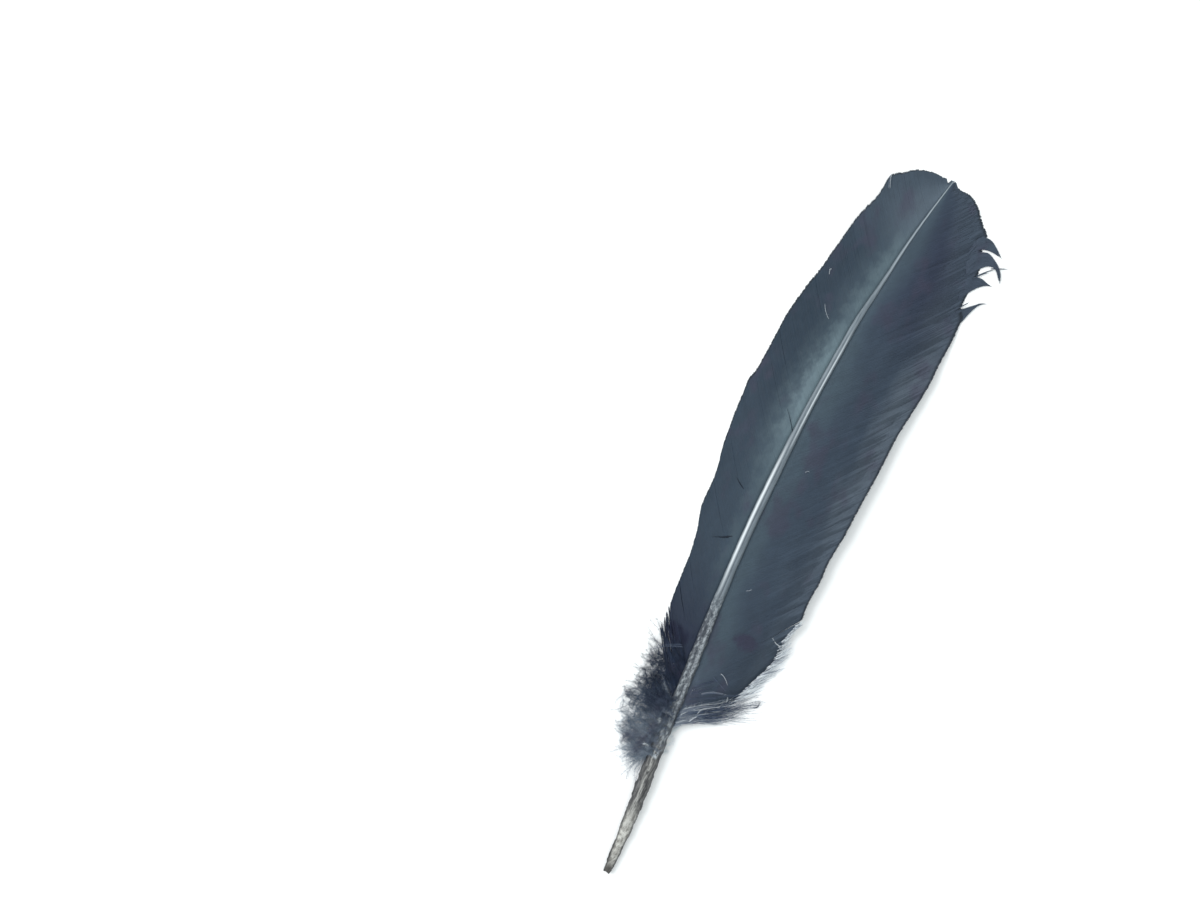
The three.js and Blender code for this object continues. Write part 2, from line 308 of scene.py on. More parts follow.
def horn():
    """Horn: worn dark at the end, pale and blotched on the bare quill, with a painted highlight streaking
    along it, then a dark collar and a pale scar, dirty scaly grey between the first barbs, and clean
    grey with two pale ridges above, the left one partly a painted highlight. Painted shade darkens the
    groove."""
    n = Nodes("quill_horn")
    _, y = n.place()
    side = n.value("side")
    belly = n.times(n.value("belly"), 9.0)
    streaks = n.noise(n.stretched((1.9, 0.16, 1.9)), 1.0, 5.0)
    blotches = n.noise(n.stretched((0.8, 0.42, 0.8)), 1.0, 6.0, 0.65)
    grain = n.noise(n.stretched((3.4, 2.0, 3.4)), 1.0, 4.0, 0.65)
    mottle = n.noise(n.stretched((1.3, 0.55, 1.3)), 1.0, 3.0, 0.6)

    def band(low, high, soft):
        """One soft step up along the stem times one soft step down."""
        return n.times(n.spread(y, low, low + soft), n.spread(y, high - soft, high, 1.0, 0.0))

    def away(centre):
        """The way across from a centre, made long on the belly, where no ridge shows."""
        return n.maths("ADD", n.maths("ABSOLUTE", n.maths("SUBTRACT", side, centre)), belly)

    def ridge(centre, width):
        """1 at a centre across the stem, falling softly to 0 at this width from it."""
        return n.spread(away(centre), 0.0, width, 1.0, 0.0)

    bare = n.mix(n.spread(blotches, 0.38, 0.64), colour(188, 188, 182), colour(116, 114, 110))
    brown = n.mix(n.spread(streaks, 0.4, 0.62), colour(54, 54, 56), colour(106, 106, 105))
    dirty = n.mix(n.spread(grain, 0.42, 0.6), colour(46, 53, 62), colour(120, 127, 133))
    clean = n.mix(n.spread(streaks, 0.35, 0.65), colour(90, 100, 108), colour(108, 118, 126))
    tint = n.mix(n.spread(y, 17, 29), bare, brown)
    tint = n.mix(n.spread(y, 44, 56), tint, dirty)
    tint = n.mix(n.spread(y, 96, 114), tint, clean)

    off = away(0.0)
    scaly = band(42, 112, 10)
    painted_quill_highlight = n.times(ridge(-0.12, 0.42), band(4, 60, 16), n.spread(streaks, 0.36, 0.6, 0.05, 0.6))
    scaly_crest = n.times(ridge(0.38, 0.34), band(60, 108, 14), n.spread(grain, 0.38, 0.58, 0.1, 0.6))
    # Painted shade along the groove, broken by the grain.
    groove = n.times(ridge(-0.02, 0.16), band(46, 215, 20), n.spread(grain, 0.36, 0.6, 0.1, 0.75))
    rim_grain = n.spread(grain, 0.32, 0.6, 0.45, 1.0)
    rim = n.times(n.spread(off, 0.62, 0.95), rim_grain, n.spread(y, 45, 120, 0.95, 0.3))
    collar_grain = n.spread(mottle, 0.42, 0.5, 0.3, 1.0)
    collar = n.times(n.spread(off, 0.3, 0.7, 0.0, 0.9), band(43.6, 49, 1.5), collar_grain)
    scar = n.times(n.spread(off, 0.24, 0.56, 0.9, 0.0), band(44.6, 48.6, 1.2), n.spread(mottle, 0.44, 0.54))
    # Each layer laid over these in turn: its share and its colour
    layers = [
        # a smudge on the left flank and a dark step, both between the first barbs
        (n.times(n.spread(side, -0.35, 0.1, 0.8, 0.1), band(80, 105, 10)), (58, 63, 73)),
        (n.times(band(57, 73, 6), 0.5), (62, 67, 76)),
        # a painted highlight streaking along the quill
        (painted_quill_highlight, (182, 182, 178)),
        (scaly_crest, (166, 172, 178)),
        # the pale left ridge, lower down partly a painted highlight of the stem's lit left side, and higher
        # up, the right one, and the thin end
        (n.times(ridge(-0.55, 0.46), band(102, 176, 26), 0.95), (206, 212, 216)),
        (n.times(ridge(-0.62, 0.34), band(160, 232, 20), 0.35), (140, 150, 157)),
        (n.times(ridge(0.3, 0.36), band(160, 222, 22), 0.85), (190, 198, 203)),
        (n.times(ridge(0.0, 0.6), n.spread(y, 222, 250), 0.7), (164, 174, 182)),
        # painted shade in the groove
        (groove, (58, 63, 72)),
        (rim, (44, 46, 50)),
        # pale flakes and dark pits between the first barbs
        (n.times(n.spread(mottle, 0.52, 0.6, 0.0, 0.5), scaly), (158, 164, 168)),
        (n.times(n.spread(mottle, 0.4, 0.48, 0.6, 0.0), scaly), (44, 50, 58)),
        (collar, (36, 39, 44)),
        (scar, (176, 182, 186)),
        # dark specks, the worn end, and the flanks near it
        (n.times(n.spread(grain, 0.58, 0.66), n.spread(y, 60, 110, 0.7, 0.0)), (56, 54, 53)),
        (n.spread(y, 1.2, 7.0, 0.9, 0.0), (46, 44, 42)),
        (n.times(n.spread(off, 0.5, 0.9, 0.0, 0.9), n.spread(y, 8, 24, 1.0, 0.0)), (40, 40, 41)),
    ]
    for share, hue in layers:
        tint = n.mix(share, tint, colour(*hue))
    n.feed(n.shader.inputs["Base Color"], tint)
    n.feed(n.shader.inputs["Roughness"], n.spread(blotches, 0.3, 0.7, 0.42, 0.66))
    n.keep(Specular_IOR_Level=0.35)
    n.bump(n.maths("ADD", grain, streaks), 0.08 * MM, 0.7)
    return n.material


shaft.data.materials.append(horn())
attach(shaft, "root")
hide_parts("feather")

# The narrow vane, on the left
# A web of some hundreds of flat barbs, side by side. Each runs out and forward from the shaft's
# flank to the vane's edge, where the web lies on the surface.
BARB_SLOPE = 1.19  # a barb runs this far along the shaft for each millimetre across
BARB_PITCH = 0.42  # between two barbs' roots, along the shaft
BARB_POINTS = 24  # along one barb
BARB_BOW = 0.062  # of a barb's length
BARB_HALF = 0.27  # half a barb's width
TIP_HALF = 0.08  # and at its tip
BARB_LEAN = 0.14  # slope across a barb, which lays each one's edge over the next
ROOT_OUT = 0.42  # the barbs' roots are this share of the shaft's width from its middle
VANE_SEAT = 0.62  # height of the barbs' roots, as a share of the shaft's height
FLAT_MARGIN = 0.88  # the web comes down to the surface at this share of its width
FLAT_HEIGHT = 0.14  # of the web's middle where it lies on the surface
ARCH_POWER = 1.7  # of the web's fall from the shaft: higher keeps it up longer
ROOT_ROUNDS = 14  # rounds to find the root of the barb at a place
EDGE_SAMPLES = 3000  # points along an outline
CORNERS = 4  # around a strip, and of a hair
NARROW_EDGE = [
    (-22.7, 88), (-24, 105), (-25.1, 118), (-26.6, 126), (-28.9, 134), (-29.3, 143), (-29.9, 149),
    (-31.6, 156.5), (-32.7, 165), (-33.4, 172), (-33.8, 179), (-34.2, 182), (-33.2, 187), (-32.8, 193),
    (-32.6, 200), (-32.1, 212), (-31, 219), (-30.1, 224), (-28.8, 229), (-27.6, 237.5), (-26.4, 245),
    (-25.3, 252), (-24.3, 256), (-22.5, 261), (-21.8, 264.5), (-21.5, 269), (-21.3, 271), (-20.7, 272.2),
    (-18.4, 273.9), (-16.9, 274.8), (-15, 276.5), (-13, 277.7), (-10.6, 278.7), (-8.2, 279.3),
    (-5.8, 279.5), (-3.6, 279.4), (-2.6, 279.5), (-1.9, 278), (-1, 278.4), (-0.5, 279.6),
]
NARROW_LIFT = [(70, 0), (210, 0), (230, 0), (256, 0.7), (LENGTH, 0)]  # of the edge, along y


def through(corners, share):
    """Places on the smooth line through an outline's corners, at shares of its length, 0 to 1."""
    corners = np.array(corners, float)
    far = np.concatenate([[0], np.cumsum(np.hypot(*np.diff(corners, axis=0).T))])
    stations = [np.stack([far / far[-1], corners[:, k]], -1) for k in (0, 1)]
    return np.stack([eased(station, share) for station in stations], -1)


def barb_tips(edge, roots):
    """Where the barb from each root ends: at the outline point whose own root that is. A barb runs
    the slope times its way across along the shaft, so a few rounds find an outline point's root."""
    x, y = through(edge, np.linspace(0, 1, EDGE_SAMPLES)).T
    root = y
    for _ in range(ROOT_ROUNDS):
        root = y - BARB_SLOPE * np.abs(x - shaft_x(root))
    root = np.maximum.accumulate(root + np.arange(len(root)) * 1e-7)
    return np.interp(roots, root, x), np.interp(roots, root, y)


def web_height(out, root_y, lift):
    """Height of the web's middle: seat * (1 - (out / margin) ^ power), from the shaft's flank down to
    the surface, eased into the flat, plus a lifted edge's height times the way out ^ 1.6."""
    seat = shaft_lift(root_y) + VANE_SEAT * SHAFT_HEIGHT * shaft_width(root_y)
    arch = seat * (1 - (out / FLAT_MARGIN) ** ARCH_POWER)
    soft = 0.22
    return FLAT_HEIGHT + soft * np.logaddexp(0, (arch - FLAT_HEIGHT) / soft) + lift * out**1.6


def strips(path, half_width, half_depth, lean=0.0):
    """Closed flat strips along paths, which are strips x points x 3. A strip has four corners at each
    point, left, top, right and below, seen from above along the path, and the lean raises its right
    corner and lowers its left one."""
    way = np.gradient(path, axis=1)
    right = np.stack([way[..., 1], -way[..., 0], np.zeros(way.shape[:2])], -1)
    right /= np.linalg.norm(right, axis=-1, keepdims=True) + 1e-12
    right[..., 2] = lean
    up = np.zeros_like(path)
    up[..., 2] = half_depth
    right = right * np.asarray(half_width)[..., None]
    corners = np.stack([path - right, path + up, path + right, path - up], 2)
    count, points = path.shape[:2]
    axes = np.arange(count), np.arange(points - 1), np.arange(CORNERS)
    strip, point, corner = np.meshgrid(*axes, indexing="ij")
    first = (strip * points + point) * CORNERS
    a, b = first + corner, first + (corner + 1) % CORNERS
    quads = np.stack([a, b, b + CORNERS, a + CORNERS], -1).reshape(-1, 4)
    start = np.arange(count)[:, None] * points * CORNERS
    finish = start + (points - 1) * CORNERS
    ends = np.concatenate([start + [0, 3, 2, 1], finish + [0, 1, 2, 3]])
    return corners.reshape(-1, 3), np.concatenate([quads, ends])


def web(seed, side, edge, lift, from_y, to_y, splits, loose, crowd, ripple):
    """The barbs of one vane. Barb i leaves the shaft at from_y + i * pitch and bows outward:
    path(u) = root + (tip - root) u + bow * u (1 - u). Barbs draw together in small bundles towards
    their tips, open at each split, given as (x, y, gap, reach along the shaft), and come apart over
    the first loose millimetres. The lowest are moved up by crowd * exp(-i pitch / 5). Ripple scales
    the margin's waves. Side is -1 on the left and 1 on the right. Also gives how far out each point
    is, from 0 to 1, and its barb's shade and root."""
    rng = np.random.default_rng(seed)
    roots = np.arange(from_y, to_y, BARB_PITCH)[:, None]
    barbs = roots.shape
    roots = roots + rng.uniform(-0.06, 0.06, barbs)
    tip_x, tip_y = barb_tips(edge, roots)
    out = np.linspace(0, 1, BARB_POINTS)[None, :] ** 0.85
    root_x = shaft_x(roots)
    length = np.hypot(tip_x - root_x, tip_y - roots)
    bundle = 0.5 * uneven(seed + 1, roots, 0 * roots, 9) + 0.35 * uneven(seed + 2, roots, 0 * roots, 3.4)
    ragged = rng.normal(0, 0.05, barbs) + 0.1 * uneven(seed + 3, roots, 0 * roots, 2.2)
    free = 1 - smooth_step(from_y, from_y + loose, roots)
    start_x = root_x + side * ROOT_OUT * shaft_width(roots)
    start_y = roots + crowd * np.exp(-(roots - from_y) / 5)
    stretch = 1 + ragged / np.maximum(length, 4) * out
    bow = BARB_BOW * length * out * (1 - out)
    x = start_x + (tip_x - start_x) * out * stretch + side * bow
    y = start_y + (tip_y - start_y) * out * stretch - bow + 0.07 * bundle * out**2
    y = y + 0.157 * loose * free * rng.normal(0, 1, barbs) * out**2
    x = x - side * 0.085 * loose * free * np.abs(rng.normal(0, 1, barbs)) * out**2
    rise = 0
    for split_x, split_y, gap, reach in splits:
        across = abs(split_x - shaft_x(split_y))
        begin = across / np.abs(tip_x - root_x).max()
        away = roots - (split_y - BARB_SLOPE * across)
        pull = np.exp(-np.abs(away) / reach)
        y = y + gap * np.sign(away) * pull * smooth_step(begin, min(1.0, begin + 0.35), out)
        rise = rise + 0.25 * (away > 0) * pull * smooth_step(begin - 0.1, begin + 0.2, out)
    z = web_height(out, roots, np.maximum(0, eased(lift, tip_y)))
    wave = np.abs(0.5 * uneven(seed + 4, tip_y, 12 * out, 46) + 0.07 * uneven(seed + 5, roots, 3 * out, 5))
    z = z + wave * ripple * out**1.5 * smooth_step(0.05, 0.3, out) + 0.3 * rise
    z = z + 0.015 * bundle * out + free * rng.uniform(0, 1, barbs) * out
    path = np.stack([x, y, z], -1)
    taper = 1 - smooth_step(0.965, 1.0, out)
    half_width = (TIP_HALF + (BARB_HALF - TIP_HALF) * taper) * (1 - 0.5 * free * out)
    half_depth = (0.04 + 0.045 * (1 - out)) * np.ones_like(x)
    points, quads = strips(path, half_width, half_depth, lean=BARB_LEAN * side)
    shade = 0.5 * rng.normal(0, 1, barbs) + bundle * (0.25 + 0.2 * out)
    carried = {"out": out, "shade": shade, "root": roots}
    values = {}
    for key, array in carried.items():
        values[key] = np.repeat(np.broadcast_to(array, x.shape).ravel(), CORNERS)
    return points, quads, values


NARROW_SPLITS = [
    (-15, 127.5, 0.12, 2.5), (-18, 146.5, 0.05, 2.0), (-12, 172, 0.12, 2.0), (-18, 214, 0.08, 2.0),
    (-19, 108, 0.15, 3.0), (-16, 96, 0.3, 3.0), (-20, 190, 0.06, 2.0), (-14, 245, 0.06, 1.5),
]
points, quads, values = web(11, -1, NARROW_EDGE, NARROW_LIFT, 67.5, 279.2, NARROW_SPLITS, 14, 0, 0.12)
narrow_vane = as_mesh("narrow_vane", points, quads, **values)


def slate(name, painted_sheen_side):
    """Dark slate barbs, faintly streaked, with plum clouds and a thin dark edge. On the narrow vane a
    painted sheen makes the barbs paler and greener beside the upper shaft, and painted shade makes them
    navy near the down, darkest in a painted shadow in the hollow above it. On both vanes painted shade
    darkens the barbs' roots beside the shaft. The wide one has a navy cloud near the tip, a greyer
    margin and a purple patch low down."""
    n = Nodes(name)
    x, y = n.place()
    out, shade, root = n.value("out"), n.value("shade"), n.value("root")
    clouds = n.noise(n.stretched((0.05, 0.022, 0.05)), 1.0, 3.0)
    small = n.noise(n.stretched((0.3, 0.2, 0.3)), 1.0, 4.0, 0.6)
    along = n.add("CombineXYZ")
    n.feed(along.inputs[0], n.times(root, 1.1))
    n.feed(along.inputs[1], n.times(out, 5.0))
    streaks = n.noise(along.outputs[0], 1.0, 3.0, 0.6)
    drift = n.maths("ADD", out, n.spread(clouds, 0.3, 0.7, -0.12, 0.12))

    def patch(centre_x, centre_y, reach_x, reach_y, under, tint):
        """A soft oval of one tint: full where the squared way from the centre, in reaches, is below
        0.2, and gone past 1.6."""
        across = n.maths("DIVIDE", n.maths("SUBTRACT", x, centre_x), reach_x)
        up = n.maths("DIVIDE", n.maths("SUBTRACT", y, centre_y), reach_y)
        away = n.maths("ADD", n.times(across, across), n.times(up, up))
        away = n.maths("ADD", away, n.spread(small, 0.3, 0.7, -0.5, 0.5))
        return n.mix(n.spread(away, 0.2, 1.6, 0.95, 0.0), under, tint)

    if painted_sheen_side:
        base = n.mix(n.spread(clouds, 0.35, 0.65), colour(36, 51, 65), colour(45, 59, 73))
        # Painted sheen: the barbs beside the upper shaft are painted paler and greener where light shines
        # off them; near is its share.
        wisp = n.maths("ADD", out, n.spread(small, 0.3, 0.7, -0.08, 0.08))
        narrow_painted_sheen = n.times(n.spread(wisp, 0.0, 0.34, 0.62, 0.0), n.spread(y, 166, 186, 0.36, 1.3))
        broad_painted_sheen = n.times(n.spread(wisp, 0.0, 0.64, 0.5, 0.0), n.spread(y, 136, 180, 0.05, 1.12))
        near = n.times(n.maths("ADD", narrow_painted_sheen, broad_painted_sheen), n.spread(y, 188, 220, 1.0, 0.5))
        base = n.mix(near, base, colour(103, 121, 129))
        tip = n.times(n.spread(y, 240, 268), n.spread(drift, 0.0, 0.9, 0.95, 0.35))
        base = n.mix(tip, base, colour(82, 94, 106))
    else:
        base = n.mix(n.spread(clouds, 0.35, 0.65), colour(50, 62, 77), colour(57, 70, 85))
        navy = n.times(n.spread(y, 205, 242), n.spread(y, 250, 278, 1.0, 0.2))
        navy = n.times(navy, n.spread(drift, 0.05, 0.5), n.spread(drift, 0.62, 0.98, 1.0, 0.3), 0.85)
        base = n.mix(navy, base, colour(43, 50, 70))
        margin = n.times(n.spread(drift, 0.5, 0.8), n.spread(y, 96, 178, 0.3, 0.85))
        near = n.times(n.spread(drift, 0.02, 0.34, 0.6, 0.0), n.spread(y, 205, 240, 1.0, 0.75))
        base = n.mix(near, base, colour(74, 90, 100))
        foot = n.times(n.spread(drift, 0.0, 0.5, 0.8, 0.0), n.spread(y, 66, 94, 1.0, 0.0))
        base = n.mix(foot, base, colour(76, 85, 101))
        margin = n.times(margin, n.spread(y, 208, 246, 1.0, 0.3))
        base = n.mix(margin, base, colour(78, 88, 99))
    plum = n.noise(n.stretched((0.11, 0.07, 0.1)), 1.0, 2.0)
    plum = n.spread(plum, 0.52, 0.7, 0.0, 0.5)
    # The plum clouds are kept out of the painted sheen.
    if painted_sheen_side:
        plum = n.times(plum, n.spread(near, 0.05, 0.35, 1.0, 0.15))
    base = n.mix(plum, base, colour(62, 59, 78))
    if painted_sheen_side:
        # Painted shade: the narrow vane darkens to navy towards the down, and a painted shadow is darkest
        # in the hollow between the vane and the down.
        base = n.mix(n.spread(y, 84, 128, 0.95, 0.0), base, colour(23, 32, 52))
        base = patch(-17.0, 88.5, 6.0, 3.6, base, colour(0, 4, 38))
    else:
        base = patch(7.5, 96.5, 4.6, 2.9, base, colour(50, 50, 70))
    dark = n.times(n.spread(out, 0.955, 0.99, 0.0, 0.75), n.spread(y, 92, 112))
    base = n.mix(dark, base, colour(30, 35, 42))
    # Painted shade at the barbs' roots, in the seam beside the shaft.
    base = n.mix(n.spread(out, 0.0, 0.03, 0.15, 0.0), base, colour(36, 42, 50))
    tone = n.maths("ADD", n.times(shade, 0.025), n.spread(streaks, 0.3, 0.7, -0.045, 0.045))
    tone = n.maths("ADD", tone, n.spread(small, 0.3, 0.7, -0.05, 0.05))
    tone = n.maths("ADD", tone, 0.88)
    bright = n.add("CombineXYZ")
    for socket in bright.inputs:
        n.feed(socket, tone)
    base = n.mix(1.0, base, bright.outputs[0], "MULTIPLY")
    n.feed(n.shader.inputs["Base Color"], base)
    n.feed(n.shader.inputs["Roughness"], n.spread(streaks, 0.3, 0.7, 0.55, 0.7))
    n.keep(Specular_IOR_Level=0.3, Specular_Tint=(0.9, 0.95, 1.0, 1))
    n.keep(Sheen_Weight=0.08, Sheen_Roughness=0.45, Sheen_Tint=(0.6, 0.75, 1.0, 1))
    n.bump(streaks, 0.04 * MM, 0.4)
    return n.material


narrow_vane.data.materials.append(slate("narrow_barbs", True))
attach(narrow_vane, "root")
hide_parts("feather")

# The wide vane, on the right
# The same web on the other flank, longer and softer, its edge raised off the surface. Near the tip
# the edge is torn into locks, whose barbs cling together and come to points.
WIDE_EDGE = [
    (14, 76.6), (15, 80.6), (16.2, 84), (17.6, 87.8), (19.3, 93.3), (20.3, 99), (19.6, 102.6), (20, 105.6),
    (21, 109.2), (21.5, 113.6), (21, 117.2), (21, 123), (21.3, 128.4), (20.9, 134.2), (21.7, 146.5),
    (22, 157.4), (22.3, 164.6), (22.7, 176.6), (22.9, 189), (23.9, 197.6), (24.9, 208), (25.1, 219),
    (25.6, 228.7), (25.4, 233.8), (25.3, 237), (23.3, 239.6), (23.1, 243), (23.2, 247), (23.4, 251),
    (23, 256), (21.6, 260), (20.3, 262.8), (19.9, 265), (20.2, 267), (19.6, 268.1), (18.1, 269.4),
    (16.4, 271), (14.5, 272.9), (13, 274.8), (11.3, 276.1), (9.7, 277.1), (7.5, 277.9), (4.3, 277.9),
    (2.4, 278.7), (1.2, 279.9),
]
WIDE_LIFT = [(50, 0), (90, 0.5), (108, 3.4), (140, 4.6), (185, 4.2), (212, 2.8), (236, 0.4), (LENGTH, 0)]
WIDE_SPLITS = [
    (12, 104, 0.4, 2.5), (14, 116, 0.12, 2.0), (16, 150, 0.1, 2.0), (15, 188, 0.08, 2.0),
    (10, 252, 0.08, 1.5),
]
# Each torn lock's upper and lower outline, from inside the web to its point
TORN_LOCKS = [
    (
        [(16.7, 260), (18.6, 266), (21.7, 266.5), (24.9, 264.8), (28.4, 262.2)],
        [(16.3, 256.2), (19.5, 261.6), (23.7, 263), (26.2, 262.7), (28.4, 262.2)],
    ),
    (
        [(17.4, 255.5), (20.3, 260.6), (23.2, 261.8), (26.1, 260.6), (28.5, 259.1), (30.4, 257.2),
         (32, 253.7)],
        [(19.6, 250.6), (22.8, 255.5), (25.4, 257.9), (27.5, 258.2), (29.3, 256.9), (30.7, 254.9),
         (32, 253.7)],
    ),
    (
        [(19.5, 246.5), (22.6, 251.8), (25, 252.4), (27.5, 251.9), (30.1, 251.6)],
        [(21, 242), (24, 247.5), (25.8, 249.7), (27.6, 251), (30.1, 251.6)],
    ),
    (
        [(19.6, 232.5), (23.1, 238.9), (24.7, 240.3), (27.1, 242.7), (28.8, 244.4), (31.1, 245.3)],
        [(21.9, 228), (25.5, 235.3), (26.5, 239), (27.3, 241.2), (28.8, 243.8), (31.1, 245.3)],
    ),
]
LOCK_BARBS = [20, 22, 14, 14]  # in each lock
LOCK_POINTS = 14  # along one of them
STRAY_HEIGHT = 0.75
# Root, bend and tip of stray barbs at the torn edge
STRAYS = [
    ((26.5, 257.2), (29.1, 258.5), (LOCK_REACH, 260)), ((20.4, 265.2), (21.8, 266.2), (23.5, 265.9)),
    ((23, 252.5), (26, 256.3), (27.8, 257.4)), ((22.3, 251), (24.6, 254.6), (26.5, 255.6)),
    ((21.4, 238), (24, 241.6), (25, 243)),
]


def bent(start, bend, tip, u):
    """A quadratic bend: (1 - u)^2 start + 2 u (1 - u) bend + u^2 tip."""
    u = np.asarray(u)[..., None]
    return (1 - u) ** 2 * start + 2 * u * (1 - u) * bend + u**2 * tip


def torn_lock(seed, upper, lower, count):
    """Barbs side by side between a lock's two outlines, barb q the share q of the way from one to the
    other. They meet at the lock's point; each stops at its own length short of it."""
    rng = np.random.default_rng(seed)
    q = np.linspace(0, 1, count)[:, None]
    u = np.linspace(0, 1, LOCK_POINTS)[None, :] * rng.uniform(0.86, 1.0, (count, 1))
    flat = through(upper, u) * (1 - q[..., None]) + through(lower, u) * q[..., None]
    z = 0.42 + 0.3 * u + 0.06 * uneven(seed, q * 2, u * 3, 3)
    return np.concatenate([flat, z[..., None]], -1)


locks = [
    torn_lock(31 + i, *outlines, count) for i, (outlines, count) in enumerate(zip(TORN_LOCKS, LOCK_BARBS))
]
stray = np.array(STRAYS, float)
reach = np.linspace(0, 1, LOCK_POINTS)
stray_reach = np.tile(reach, (len(stray), 1))
stray_flat = bent(stray[:, None, 0], stray[:, None, 1], stray[:, None, 2], stray_reach)
stray_paths = np.concatenate([stray_flat, np.full((*stray_flat.shape[:2], 1), STRAY_HEIGHT)], -1)
torn = np.concatenate([*locks, stray_paths])
taper = 1 - smooth_step(0.7, 1.0, reach)
lock_points, lock_quads = strips(torn, np.tile(0.03 + 0.15 * taper, (len(torn), 1)), 0.05)

points, quads, values = web(21, 1, WIDE_EDGE, WIDE_LIFT, 54, 278.6, WIDE_SPLITS, 6, 4.5, 0.5)
rng = np.random.default_rng(41)
lock_values = {
    "out": np.repeat(np.tile(0.72 + 0.24 * reach, len(torn)), CORNERS),
    "shade": np.repeat(rng.normal(0, 0.8, len(torn)), LOCK_POINTS * CORNERS),
    "root": np.repeat(rng.uniform(200, 240, len(torn)), LOCK_POINTS * CORNERS),
}
wide_vane = as_mesh(
    "wide_vane",
    np.concatenate([points, lock_points]),
    np.concatenate([quads, lock_quads + len(points)]),
    **{key: np.concatenate([values[key], lock_values[key]]) for key in values},
)
wide_vane.data.materials.append(slate("wide_barbs", False))
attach(wide_vane, "root")
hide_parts("feather")

# The down
# Soft barbs at the foot of both vanes, each a limp thread with two rows of fine hairs: a tuft at
# the left, with short ones felted over it, and a sweep at the right.
THREAD_POINTS = 14  # along one thread
LEAST_HEIGHT = 0.12  # of a thread's middle
LEAST_HAIR_HEIGHT = 0.04  # of a hair's tip
FLANK_OUT = 0.35  # threads start this share of the shaft's width from its middle
FLANK_UP = 0.45  # and this share up
THREAD_DEPTH = 0.7  # of its width
HAIR_ROOT_OUT = 0.45  # how far out on its thread a hair's root counts, for its colour
FELT_COUNT = 300  # short threads lying any way in the left tuft
DRAPE_COUNT = 90  # short threads over the shaft's left flank
# The right side's four groups, from the quill up: how many threads, how pale, and how thick
RIGHT_COUNTS = [22, 150, 90, 48]
RIGHT_PALE = [0.9, 0.3, 0.14, 0.12]
RIGHT_STEM = [0.06, 0.1, 0.08, 0.1]


def threads(seed, start, length, heading, turn, rise, end):
    """Limp threads. A heading, in degrees from the tip's direction to the right, changes evenly by its
    turn and wavers. The height goes from start to end, plus rise * sin(pi u ^ 0.8)."""
    u = np.linspace(0, 1, THREAD_POINTS)[None, :]
    waver = 9 * uneven(seed, start[:, 1:2] * 3, u * 3, 2.5)
    angle = np.radians(heading[:, None] + turn[:, None] * u + waver * u)
    step = length[:, None] / (THREAD_POINTS - 1)
    x = start[:, 0:1] + np.cumsum(np.sin(angle) * step, 1) - np.sin(angle[:, :1]) * step
    y = start[:, 1:2] + np.cumsum(np.cos(angle) * step, 1) - np.cos(angle[:, :1]) * step
    z = start[:, 2:3] * (1 - u) + end[:, None] * u + rise[:, None] * np.sin(np.pi * u**0.8)
    return np.stack([x, y, np.maximum(z, LEAST_HEIGHT)], -1)


def from_shaft(seed, side, count, root_y, length, degrees, rise, tidy=1.0, curl=-8):
    """Threads from the shaft's flank: root, length and heading go evenly from first to last value,
    with scatter, which tidy scales, and each turns by the curl. Side is -1 on the left and 1 on the
    right, and headings and turns are mirrored with it."""
    rng = np.random.default_rng(seed)
    share = rng.uniform(0, 1, count)
    y = root_y[0] + (root_y[1] - root_y[0]) * share
    flank_x = shaft_x(y) + side * FLANK_OUT * shaft_width(y)
    start = np.stack([flank_x, y, shaft_lift(y) + FLANK_UP * shaft_width(y)], -1)
    scatter = rng.uniform(1 - 0.45 * min(1, tidy), 1.08, count)
    long = (length[0] + (length[1] - length[0]) * share) * scatter
    heading = degrees[0] + (degrees[1] - degrees[0]) * share + tidy * rng.normal(0, 12, count)
    turn = rng.normal(curl, 34 * tidy, count)
    own_rise = rise * rng.uniform(0.1, 1, count)
    end = rng.uniform(0.2, 1.6, count)
    return threads(seed, start, long, side * heading, side * turn, own_rise, end)


def hairs(seed, path, per_side, length, thick):
    """Fine hairs along both sides of each thread: long thin pyramids, three corners around the root.
    They lean forward along the thread and point a little up or down."""
    rng = np.random.default_rng(seed)
    count, points = path.shape[:2]
    at = rng.uniform(0.04, 0.98, (count, 2 * per_side)) * (points - 1)
    i = np.minimum(at.astype(int), points - 2)
    t = (at - i)[..., None]
    thread = np.arange(count)[:, None]
    root = path[thread, i] * (1 - t) + path[thread, i + 1] * t
    way = path[thread, i + 1] - path[thread, i]
    way /= np.linalg.norm(way, axis=-1, keepdims=True) + 1e-9
    right = np.stack([way[..., 1], -way[..., 0], np.zeros(at.shape)], -1)
    hand = np.tile([1, -1], per_side)[None, :, None]
    aim = 0.8 * way + 0.75 * hand * right + rng.normal(0, 0.3, (*at.shape, 3))
    aim /= np.linalg.norm(aim, axis=-1, keepdims=True)
    far = length * rng.uniform(0.4, 1.2, at.shape)[..., None] * (1 - 0.5 * at[..., None] / (points - 1))
    tip = root + aim * far
    tip[..., 2] = np.maximum(tip[..., 2], LEAST_HAIR_HEIGHT)
    flat = np.cross(aim, [0.0, 0.0, 1.0])
    flat /= np.linalg.norm(flat, axis=-1, keepdims=True) + 1e-9
    over = np.cross(flat, aim)
    around = [thick * (flat * np.cos(a) + over * np.sin(a)) for a in 2 * np.pi * np.arange(3) / 3]
    corners = np.stack([root + around[0], root + around[1], root + around[2], tip], 2)
    first = np.arange(at.size)[:, None] * CORNERS
    faces = np.concatenate([first + [0, 2, 1], first + [0, 1, 3], first + [1, 2, 3], first + [2, 0, 3]])
    return corners.reshape(-1, 3), faces


